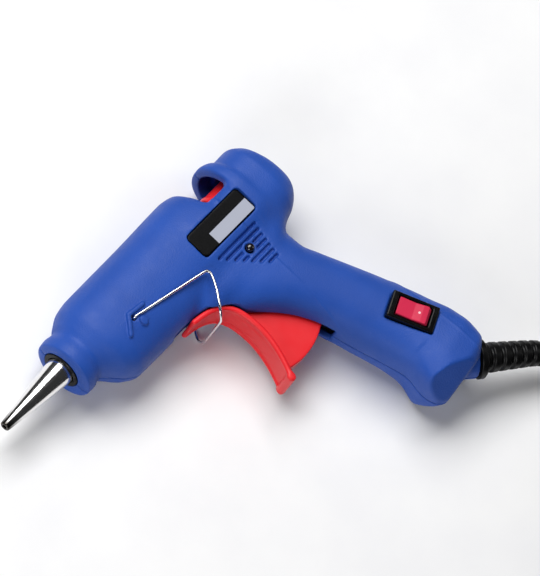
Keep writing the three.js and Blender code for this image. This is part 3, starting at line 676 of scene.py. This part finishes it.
def shell_bodies(p, step):
    """The outside of the gun, and the hollow inside it."""
    barrel = loft_across_x(p, BARREL, step)
    hump = loft_across_x(p, HUMP, step)
    handle = loft_along_spine(p, HANDLE, step)
    deck = box_field(p, (92, -13, -14.1), (124, 4.6, 14.1), 5.2)
    flats = butt_facets(p)
    hollow = common(np.minimum(barrel, handle) + WALL, flats + WALL)
    outside = joined(barrel, handle, 3.5)
    outside = joined(outside, joined(hump, deck, 3), 4.5)
    valley = box_field(p, (106, 4.0, -30), (117, 40, 30), 1.5)
    outside = joined(without(outside, valley, 0.8), common(barrel, p[0] - 109.6), 0.6)
    outside = common(outside, flats, 0.8)
    outside = joined(outside, gland_rod(p, 6.7, -4.5, 2.0), 1.0)
    return outside, hollow


# Side views of the room behind the trigger's blade, and of the slot for its web.
FINGER_ROOM = [
    (66, -19.5),
    (74, -19.6),
    (78.6, -20.2),
    (83.3, -21.6),
    (87, -24.3),
    (89.5, -28.2),
    (90.6, -32),
    (92.4, -38),
    (80, -60),
    (66, -40),
]
WEB_SLOT = [
    (67, -16),
    (67, -24),
    (84, -30),
    (96, -62),
    (107.2, -58),
    (111.4, -56),
    (109.4, -49),
    (100, -16),
]


def shell_openings(p, outside):
    """Everything that is cut out of both halves."""
    skin = 0.8
    finger_room = outline_field(p, FINGER_ROOM)
    web_slot = outline_field(p, WEB_SLOT)
    pivot_x, pivot_y = TRIGGER_PIVOT
    cuts = [
        arch_field(p, 109, 123, 11.0, 12.0, -9.4),
        arch_field(p, 109, 129, 9.3, 9.7, -9.4),
        box_field(p, (104, -9.4, -9.3), (117.5, 7.4, 9.3), 0.5),
        plate_field(p, finger_room, -TRIGGER_HALF_WIDTH - 0.6, TRIGGER_HALF_WIDTH + 0.6, 0.4),
        common(rod_z(p, pivot_x, pivot_y, 4.5, -4.5, 4.5), outside + skin),
        common(rod_z(p, pivot_x, pivot_y, 2.6, -8, 8), outside + skin),
        rod_x(p, MOUTH_RADIUS, 28, 40),
        rod_x(p, STICK_BORE + 0.3, 128, 140),
        plate_field(p, web_slot, -WEB_HALF_WIDTH - 0.6, WEB_HALF_WIDTH + 0.6),
        rod_z(p, *STAND_PIVOT, 1.0),
        gland_rod(p, 4.4, -13, 13),
        gland_rod(p, 7.3, 2.0, 14),
    ]
    result = cuts[0]
    for cut in cuts[1:]:
        result = joined(result, cut)
    return result


def shell_fittings(p):
    """Screw bosses and the trigger's bearings, inside the hollow."""
    bearing = rod_z(p, *TRIGGER_PIVOT, 3.4, -12, 12)
    bearing = without(bearing, slab(p, -8, 8.3))
    result = bearing
    for x, y in SCREWS:
        result = joined(result, rod_z(p, x, y, 2.9, -12.5, 12))
    return result


def vent_grooves(p):
    """Seven grooves that form a triangle pointing at the trigger, clear of the lamp."""
    result = 1e9
    for i in range(7):
        y = -12.3 - 2.15 * i
        groove = line_field(p, [(93.9 + 2.1 * i, y), (113.0 - 0.4 * i, y)], 0.5)
        result = np.minimum(result, groove)
    ring = np.hypot(p[0] - LAMP[0], p[1] - LAMP[1]) - LAMP_RADIUS - 1.2
    return without(result, ring)


def switch_block(p, length, width, corner, z0, z1):
    """A rounded block in the switch's place."""
    turned = turned_frame(p, SWITCH["x"], SWITCH["y"], SWITCH["tilt"])
    side = box_field(turned[:2], (-length / 2, -width / 2), (length / 2, width / 2), corner)
    return plate_field(p, side, z0, z1)


def plate_block(p, margin, z0, z1, edge=0.0):
    """A rounded block in the rating plate's place."""
    a, b = PLATE["length"] / 2 + margin, PLATE["width"] / 2 + margin
    x, y = PLATE["x"], PLATE["y"]
    side = box_field(p[:2], (x - a, y - b), (x + a, y + b), 1.6 + margin)
    return plate_field(p, side, z0, z1, edge)


def left_details(p, body, outside):
    """The left flank's raised marks, vents and seats."""
    rib = line_field(p, [(61.3, -4.7), (54.7, -3.9), (50.1, -9.3)], 0.75)
    bump = np.hypot(p[0] - 57.4, (p[1] + 8.9) / 1.3) - 1.4
    marks = np.minimum(rib, bump)
    body = joined(body, common(marks, outside - 1.1, 0.4), 0.15)
    body = without(body, common(vent_grooves(p), -(outside + 1.2)), 0.2)
    body = without(body, plate_block(p, 0.25, PLATE["z"] - 1.5, 30), 0.2)
    body = without(body, rod_z(p, *LAMP, LAMP_RADIUS + 0.15, 0, 30), 0.2)
    body = without(body, switch_block(p, 15, 8.4, 0.5, 0, 30))
    length, width = SWITCH["length"] + 0.4, SWITCH["width"] + 0.4
    body = without(body, switch_block(p, length, width, 0.5, SWITCH["face"] - 2.3, 30), 0.3)
    return body


def make_shell(side):
    """One half of the body: side 1 is the left one, which faces up, and -1 the right one."""
    step = SHELL_STEP
    low, high = (28, -105, -17), (149, 17, 0.8)
    if side > 0:
        low, high = (28, -105, -0.8), (149, 17, 17)
    p = lattice(low, high, step)
    outside, hollow = shell_bodies(p, step)
    if side > 0:
        backing = common(plate_block(p, 2, 9.6, 14.2), outside)
    else:
        backing = 1e9
    body = without(outside, hollow)
    body = joined(body, common(shell_fittings(p), outside))
    body = joined(body, backing)
    body = without(body, shell_openings(p, outside), 0.5)
    for x, y in SCREWS:
        body = without(body, rod_z(p, x, y, 2.6, -20, -8))
        body = without(body, rod_z(p, x, y, 1.3, -9, 9))
    if side > 0:
        body = left_details(p, body, outside)
    body = common(body, SEAM - side * p[2], 0.35)
    name = "shell_left" if side > 0 else "shell_right"
    return thinned(surface(name, body, low, step), 190_000)


def add_shells():
    for side, node in ((1, "left_shell"), (-1, "right_shell")):
        shell = make_shell(side)
        finish_piece(shell, "casing", "blue_abs", node)


# ---- hot end ------------------------------------------------------------------------------------
def add_nozzle():
    """The turned nozzle with its rounded tip, and the black ring that seats it in the collar."""
    cone = [(0, 0.8), (0, 1.8), (30.6, 5.4), (30.6, 4.7)]
    spigot = [(34.6, 4.7), (34.6, 3.9), (39.5, 3.9), (39.5, 2.4)]
    bore = [(8, 2), (5, 0.8)]
    profile = smooth_profile([*cone, *spigot, *bore], 0.6)
    nozzle = turned_piece("nozzle_turned", profile)
    finish_piece(nozzle, "casing", "polished_metal", "nozzle")
    front, inner = 29.3, 5.45
    rim = [(front, inner), (front, 7.0), (33.5, 7.0)]
    flange = [(33.5, 8.2), (34.6, 8.2), (34.6, 4.9), (31, 4.9), (31, inner)]
    profile = smooth_profile([*rim, *flange], 0.2)
    collar = turned_piece("collar_ring", profile)
    finish_piece(collar, "casing", "black_plastic", "nozzle_collar")


def smooth_profile(points, radius, steps=4):
    """A closed profile with eased corners."""
    result = []
    count = len(points)
    for i, corner in enumerate(points):
        before, after = Vector(points[i - 1]), Vector(points[(i + 1) % count])
        corner = Vector(corner)
        start = corner + (before - corner).normalized() * min(radius, (before - corner).length * 0.4)
        end = corner + (after - corner).normalized() * min(radius, (after - corner).length * 0.4)
        for k in range(steps + 1):
            t = k / steps
            result.append(tuple(start * (1 - t) ** 2 + corner * 2 * t * (1 - t) + end * t * t))
    return result


# ---- trigger ------------------------------------------------------------------------------------
TRIGGER_FRONT = [
    (73.6, -22.0),
    (77.8, -22.6),
    (82.0, -23.9),
    (85.2, -26.3),
    (87.2, -30.2),
    (88.0, -36.3),
    (87.6, -42.6),
    (85.8, -49.6),
    (82.6, -57.4),
]


def spline(points, steps):
    """A smooth line through points, by Catmull and Rom's curve, with some steps between each two."""
    places = [Vector(point) for point in points]
    places = [places[0] * 2 - places[1], *places, places[-1] * 2 - places[-2]]
    result = []
    for a, b, c, d in zip(places, places[1:], places[2:], places[3:]):
        for i in range(steps):
            t = i / steps
            slope = (c - a) * (t / 2)
            bend = (a * 2 - b * 5 + c * 4 - d) * (t * t / 2)
            twist = (b * 3 - a - c * 3 + d) * (t**3 / 2)
            result.append(b + slope + bend + twist)
    result.append(places[-2])
    return result


def trigger_field(p):
    front = [tuple(v) for v in spline(TRIGGER_FRONT, 5)]
    thickness = 2.0
    middle = []
    for before, here, after in zip(front[:1] + front, front, front[1:] + front[-1:]):
        ex, ey = after[0] - before[0], after[1] - before[1]
        length = math.hypot(ex, ey)
        middle.append((here[0] - ey / length * thickness / 2, here[1] + ex / length * thickness / 2))
    half = TRIGGER_HALF_WIDTH
    finger = plate_field(p, line_field(p, middle, thickness / 2), -half, half, 1.0)
    channel = common(line_field(p, front, 0.45), np.abs(p[2]) - 5.4)
    finger = without(finger, channel, 0.5)
    tip = plate_field(p, np.hypot(p[0] - 83.6, p[1] + 57.2) - 1.5, -half, half, 0.8)
    x, y = TRIGGER_PIVOT
    arc = [
        (x + TRIGGER_RADIUS * math.cos(math.radians(a)), y + TRIGGER_RADIUS * math.sin(math.radians(a)))
        for a in range(-107, -58, 4)
    ]
    web_front = [(x, y + 6), (86.5, -26), (88.4, -34), (88.2, -43), (86, -54.4)]
    outline = [*web_front, *arc, (103.5, -36), (100.5, -26)]
    web = plate_field(p, outline_field(p, outline), -WEB_HALF_WIDTH, WEB_HALF_WIDTH, 0.5)
    arm_front = [(x - 2, y + 3), (104.5, -20.3), (107.1, -17.6), (107.4, -14.5)]
    arm_rear = [(110.6, -14.5), (110.2, -18.5), (x + 3.4, y - 4)]
    arm_outline = [*arm_front, *arm_rear]
    arm = plate_field(p, outline_field(p, arm_outline), -1.8, 1.8, 0.3)
    nose = rod_z(p, 109, -14.5, 1.7, -1.8, 1.8)
    hub = rod_z(p, x, y, 4, -3.5, 3.5)
    body = joined(joined(finger, tip, 0.8), web, 0.8)
    body = joined(joined(joined(body, arm), nose), hub, 0.4)
    return without(body, rod_z(p, x, y, 1.8))


def add_trigger():
    low, high = (67.5, -60.5, -8.5), (112.5, -11.5, 8.5)
    step = 0.3
    trigger = surface("trigger_moulding", trigger_field(lattice(low, high, step)), low, step)
    finish_piece(thinned(trigger, 150_000), "trigger", "red_plastic", "trigger")


def add_return_spring():
    """The torsion spring on the trigger's pin, with one leg against the handle."""
    x, y = TRIGGER_PIVOT
    turns, steps, coil_radius, near, far = 2.5, 60, 2.0, 4.7, 6.6
    points = [(105.5, -21.5, far)]
    for i in range(steps + 1):
        angle = i / steps * turns * math.tau + 1.9
        height = far + (near - far) * i / steps
        points.append((x + coil_radius * math.cos(angle), y + coil_radius * math.sin(angle), height))
    spring = curve_piece("return_spring_wire", points, 0.28)
    finish_piece(spring, "casing", "spring_steel", "return_spring")


def add_carriage():
    """The feed carriage with an eased arch over the stick's bore."""
    low, high = (102, -17.5, -9), (126.5, 8, 9)
    step = 0.25
    p = lattice(low, high, step)
    body = arch_field(p, 112, 125, 7.4, 6.6, -9)
    rim = common(np.hypot(p[1], p[2]) - 6.9, np.maximum(110.5 - p[0], p[0] - 113), 1.0)
    body = joined(body, rim, 0.5)
    foot = joined(
        box_field(p, (103, -8.6, -2.6), (113, -5.2, 2.6), 0.3),
        box_field(p, (103, -16.4, -2.6), (106.9, -5.2, 2.6), 0.3),
    )
    body = joined(body, foot, 0.4)
    body = without(body, rod_x(p, STICK_BORE, 90, 140), 0.5)
    body = without(body, rod_x(p, STICK_BORE + 1.0, 90, 111.6), 0.5)
    body = without(body, box_field(p, (111.8, -9.5, -2.1), (124, -3, 2.1)), 0.2)
    body = without(body, rod_z(p, 121, -6.4, 1.3))
    carriage = surface("carriage_moulding", body, low, step)
    finish_piece(thinned(carriage, 120_000), "carriage", "red_plastic", "feed_carriage")


# ---- stand --------------------------------------------------------------------------------------
def add_stand():
    """The bent wire stand, folded back along both flanks and joined under the barrel."""
    x, y = STAND_PIVOT
    z = STAND_Z
    side = [
        (x, y, 11.9),
        (x, y, z),
        (x + 31.6, y - 6.3, z),
        (x + 31.4, y - 8.6, z),
        (x + 28.6, y - 13.3, z),
        (x + 25.2, y - 17.5, z),
        (x + 23.6, y - 19.8, z - 1.0),
        (x + 23.1, y - 21.5, z - 3.6),
    ]
    other = [(a, b, -c) for a, b, c in reversed(side)]
    wire = curve_piece("stand_bent_wire", smooth_corners([*side, *other], 1.8, 7), 0.5, 5)
    finish_piece(wire, "stand", "plated_wire", "stand_wire")


# ---- switch, lamp and rating plate --------------------------------------------------------------
def add_switch():
    """The bezel with its well, and the rocker that tilts in it."""
    step = 0.15
    low, high = (120, -84, 1.5), (140.5, -62, 15.5)
    p = lattice(low, high, step)
    face = SWITCH["face"]
    flange = switch_block(p, SWITCH["length"], SWITCH["width"], 0.5, face - 2.2, 40)
    flange = common(flange, p[2] - face - 0.7, 0.6)
    body = joined(flange, switch_block(p, 14.2, 7.6, 0.5, 2, face))
    body = without(body, switch_block(p, 12.4, 7.2, 0.5, 6, 40), 0.6)
    bezel = surface("switch_bezel", body, low, step)
    finish_piece(thinned(bezel, 100_000), "casing", "black_gloss_plastic", "switch_housing")
    finish_piece(make_rocker(p, low, step), "rocker", "rocker_plastic", "switch_rocker")


def make_rocker(p, low, step):
    """A shallow V with a dished press face at each end."""
    along, across, up = turned_frame(p, SWITCH["x"], SWITCH["y"], SWITCH["tilt"])
    up = up - SWITCH["face"]
    half = 5.8
    top = [(-half, 1.1), (0, 0.8), (half - 1.3, 1.9), (half, 0.3)]
    profile = [*top, (half - 0.4, -2.2), (0, -6), (-half + 0.4, -2.8)]
    shape = outline_field((along, up, across), profile)
    body = common(shape, np.abs(across) - 3.3, 0.5)
    return thinned(surface("rocker_moulding", body, low, step), 60_000)


def add_lamp():
    """The dark domed lens of the indicator."""
    x, y = LAMP
    sides = 48
    profile = [(0.3, 10), (LAMP_RADIUS, 10), (LAMP_RADIUS, 13.7)]
    profile += [(LAMP_RADIUS * math.cos(a), 13.7 + 1.0 * math.sin(a)) for a in np.linspace(0.15, 1.45, 9)]
    vertices = [
        row(x + r * math.cos(2 * math.pi * i / sides), y + r * math.sin(2 * math.pi * i / sides), z)
        for r, z in profile
        for i in range(sides)
    ]
    faces = ring_faces(len(profile), sides, closed=False)
    faces.append(tuple(reversed(range(sides))))
    faces.append(tuple(range((len(profile) - 1) * sides, len(profile) * sides)))
    finish_piece(polygon_mesh("lens_dome", vertices, faces, smooth=True), "casing", "lens", "indicator_lens")


def add_rating_plate():
    step = 0.2
    low = (PLATE["x"] - 15, PLATE["y"] - 7, PLATE["z"] - 2.5)
    high = (PLATE["x"] + 15, PLATE["y"] + 7, PLATE["z"] + 1.2)
    p = lattice(low, high, step)
    body = plate_block(p, 0, PLATE["z"] - 1.3, PLATE["z"], 0.3)
    finish_piece(surface("rating_film", body, low, step), "casing", "label_film", "rating_plate")


# ---- strain relief, cord and plug ---------------------------------------------------------------
RELIEF_ROUTE = [
    (136.1, -95.1, 0),
    (141.3, -99, 0),
    (150.4, -105.6, -0.8),
    (158.5, -111.6, -2.2),
    (165.5, -119, -4.2),
]
CORD_LEAD = [
    (165.95, -119.75, -4.5),
    (168.9, -125.5, -7.0),
    (172.6, -132.5, -9.9),
    (177.0, -139.0, -12.0),
    (182.2, -144.2, CORD_Z),
    (189.8, -151.0, CORD_Z),
    (195.2, -159.5, CORD_Z),
]
CORD_TAIL = [
    (147, -214, CORD_Z),
    (138, -211, CORD_Z),
    (129, -207, CORD_Z + 1.5),
    (123.3, -205.2, CORD_Z + 2.6),
]


def evenly(points, spacing):
    """Points at even distances along a line."""
    places = np.array([tuple(point) for point in points])
    lengths = np.concatenate([[0], np.cumsum(np.linalg.norm(np.diff(places, axis=0), axis=1))])
    count = max(2, round(lengths[-1] / spacing) + 1)
    at = np.linspace(0, lengths[-1], count)
    return np.column_stack([np.interp(at, lengths, places[:, i]) for i in range(3)])


def swept(name, route, radius_at, sides=40):
    """A tube whose radius changes along its route and round it: radius_at(distance, angle)."""
    vertices = []
    travelled = 0.0
    for i, here in enumerate(route):
        ahead = route[min(i + 1, len(route) - 1)] - route[max(i - 1, 0)]
        ahead = Vector(ahead).normalized()
        side = ahead.cross(Vector((0, 0, 1))).normalized()
        up = side.cross(ahead)
        if i:
            travelled += float(np.linalg.norm(here - route[i - 1]))
        for k in range(sides):
            angle = 2 * math.pi * k / sides
            r = radius_at(travelled, angle)
            vertices.append(row(*(Vector(here) + side * (r * math.cos(angle)) + up * (r * math.sin(angle)))))
    faces = ring_faces(len(route), sides, closed=False)
    faces.append(tuple(reversed(range(sides))))
    faces.append(tuple(range((len(route) - 1) * sides, len(route) * sides)))
    return polygon_mesh(name, vertices, faces, smooth=True)


def add_strain_relief():
    """A ribbed sleeve that narrows towards the cord, with the flange that stops it in the butt."""
    route = evenly(spline(RELIEF_ROUTE, 12), 0.24)
    flange_start, flange_end = 4.15, 6.75
    pitch = 3.9

    def radius_at(distance, angle):
        if flange_start < distance < flange_end:
            edge = min(distance - flange_start, flange_end - distance)
            return 7.1 if edge > 0.4 else 6.6
        taper = 5.4 - max(0, distance - flange_end) * 0.045
        if distance < flange_end:
            return 4.2
        wave = math.cos(2 * math.pi * (distance - flange_end) / pitch - angle * 0.25 * math.sin(angle))
        return taper - 1.1 * max(0.0, -wave - 0.25) ** 0.5

    relief = swept("relief_sleeve", route, radius_at)
    finish_piece(relief, "casing", "relief_pvc", "strain_relief")


def coil_route():
    """Seven turns in three layers, clockwise from the lead's end to the tail's start."""
    start = math.degrees(math.atan2(8, 38))
    end = math.degrees(math.atan2(-38.8, -4)) - 7 * 360
    shares = np.linspace(0, 1, 7 * 40)
    radius, height = eased(COIL_PROFILE, shares).T
    angles = np.radians(start + (end - start) * shares)
    return [
        (COIL["x"] + r * math.cos(a), COIL["y"] + r * math.sin(a), CORD_Z + h)
        for a, r, h in zip(angles, radius, height)
    ]


# Share of the coil's length, radius, and height above the bottom layer.
COIL_PROFILE = [
    (0.0, 38.8, 0.0),
    (0.10, 33.6, 0.0),
    (0.40, 22.0, 0.0),
    (0.44, 22.6, 4.3),
    (0.47, 24.0, 4.75),
    (0.70, 32.6, 4.75),
    (0.73, 32.0, 8.8),
    (0.76, 30.0, 9.5),
    (0.88, 27.0, 9.5),
    (0.955, 32.5, 9.3),
    (0.985, 37.6, 3.0),
    (1.0, 38.9, 0.0),
]


def add_cord():
    """The mains cord: out of the sleeve, down to the floor, round its coil and into the plug."""
    lead = spline(CORD_LEAD, 3)
    tail = spline(CORD_TAIL, 3)
    route = [tuple(v) for v in lead] + coil_route() + [tuple(v) for v in tail]
    cord = curve_piece("cord", route, CORD_RADIUS, 5)
    finish_piece(cord, "casing", "cord_pvc", "mains_cord", "cord_coil", "cord_tail")
    pieces = [add_tie(), *add_plug()]


def add_tie():
    """A hook-and-loop strap round the turns of the coil."""
    step = 0.3
    middle = COIL["x"] - 28
    low, high = (middle - 14, COIL["y"] - 6, FLOOR_Z - 1), (middle + 14, COIL["y"] + 6, FLOOR_Z + 18)
    p = lattice(low, high, step)
    top = FLOOR_Z + 15.2
    low_corner = (middle - 10, COIL["y"] - 4, FLOOR_Z + 0.05)
    outer = box_field(p, low_corner, (middle + 10, COIL["y"] + 4, top + 1.1), 0.5)
    hole = box_field(p, (middle - 8.9, COIL["y"] - 9, FLOOR_Z - 9), (middle + 8.9, COIL["y"] + 9, top), 3)
    tie = surface("tie_strap", without(outer, hole, 0.2), low, step)
    return finish_piece(tie, "casing", "tie_fabric", "cord_tie")


def add_plug():
    """A two-pin plug with a waisted grip and eased edges."""
    step = 0.3
    rear, front, y, z = 122.0, 88.0, -205.0, FLOOR_Z + 6.6
    low, high = (front - 2, y - 13, z - 8), (rear + 3, y + 13, z + 8)
    p = lattice(low, high, step)
    outline = [
        (rear, y - 4.5),
        (rear, y + 4.5),
        (rear - 9, y + 6.5),
        (rear - 17, y + 11),
        (front, y + 11),
        (front, y - 11),
        (rear - 17, y - 11),
        (rear - 9, y - 6.5),
    ]
    body = plate_field(p, outline_field(p, outline) + 0.3, z - 6.5, z + 6.5, 2.4)
    for i in range(4):
        groove = np.hypot(p[0] - (rear - 3 - 3.2 * i), np.abs(p[2] - z) - 7.2) - 1.0
        body = without(body, groove, 0.5)
    plug = surface("plug_moulding", body, low, step)
    finish_piece(plug, "casing", "plug_pvc", "plug_body")
    pins = []
    for side in (1, 2):
        offset = (-8.649, 8.649)[side - 1]
        root, end = front - 0.3, front - 19
        profile = smooth_profile([(root, 0.3), (root, 2), (end, 2), (end, 0.3)], 1.2)
        pin = turned_piece(f"pin_{side}", profile, (y + offset, z), 48)
        pins.append(finish_piece(pin, "casing", "plug_brass", f"plug_pin_{side}"))
    return [plug, *pins]


# ---- putting it together ------------------------------------------------------------------------
def finish_piece(piece, body, slot, *nodes):
    """Paints a piece, lets it ride on its body and stand for its CAD nodes."""
    piece.data.materials.clear()
    piece.data.materials.append(MATERIALS[slot])
    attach(piece, body)
    if nodes:
        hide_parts(*nodes)
    return piece


def paint_cad_nodes():
    """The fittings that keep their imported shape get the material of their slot."""
    slots = {part["node"]: part["material_slot"] for part in frame["record"]["subparts"]}
    for node, piece in frame["nodes"].items():
        piece.data.materials.clear()
        piece.data.materials.append(MATERIALS[slots[node]])


MATERIALS = make_materials()
make_camera()
make_studio()
paint_cad_nodes()
add_cord()
add_strain_relief()
add_shells()
add_nozzle()
add_trigger()
add_return_spring()
add_carriage()
add_stand()
add_switch()
add_lamp()
add_rating_plate()
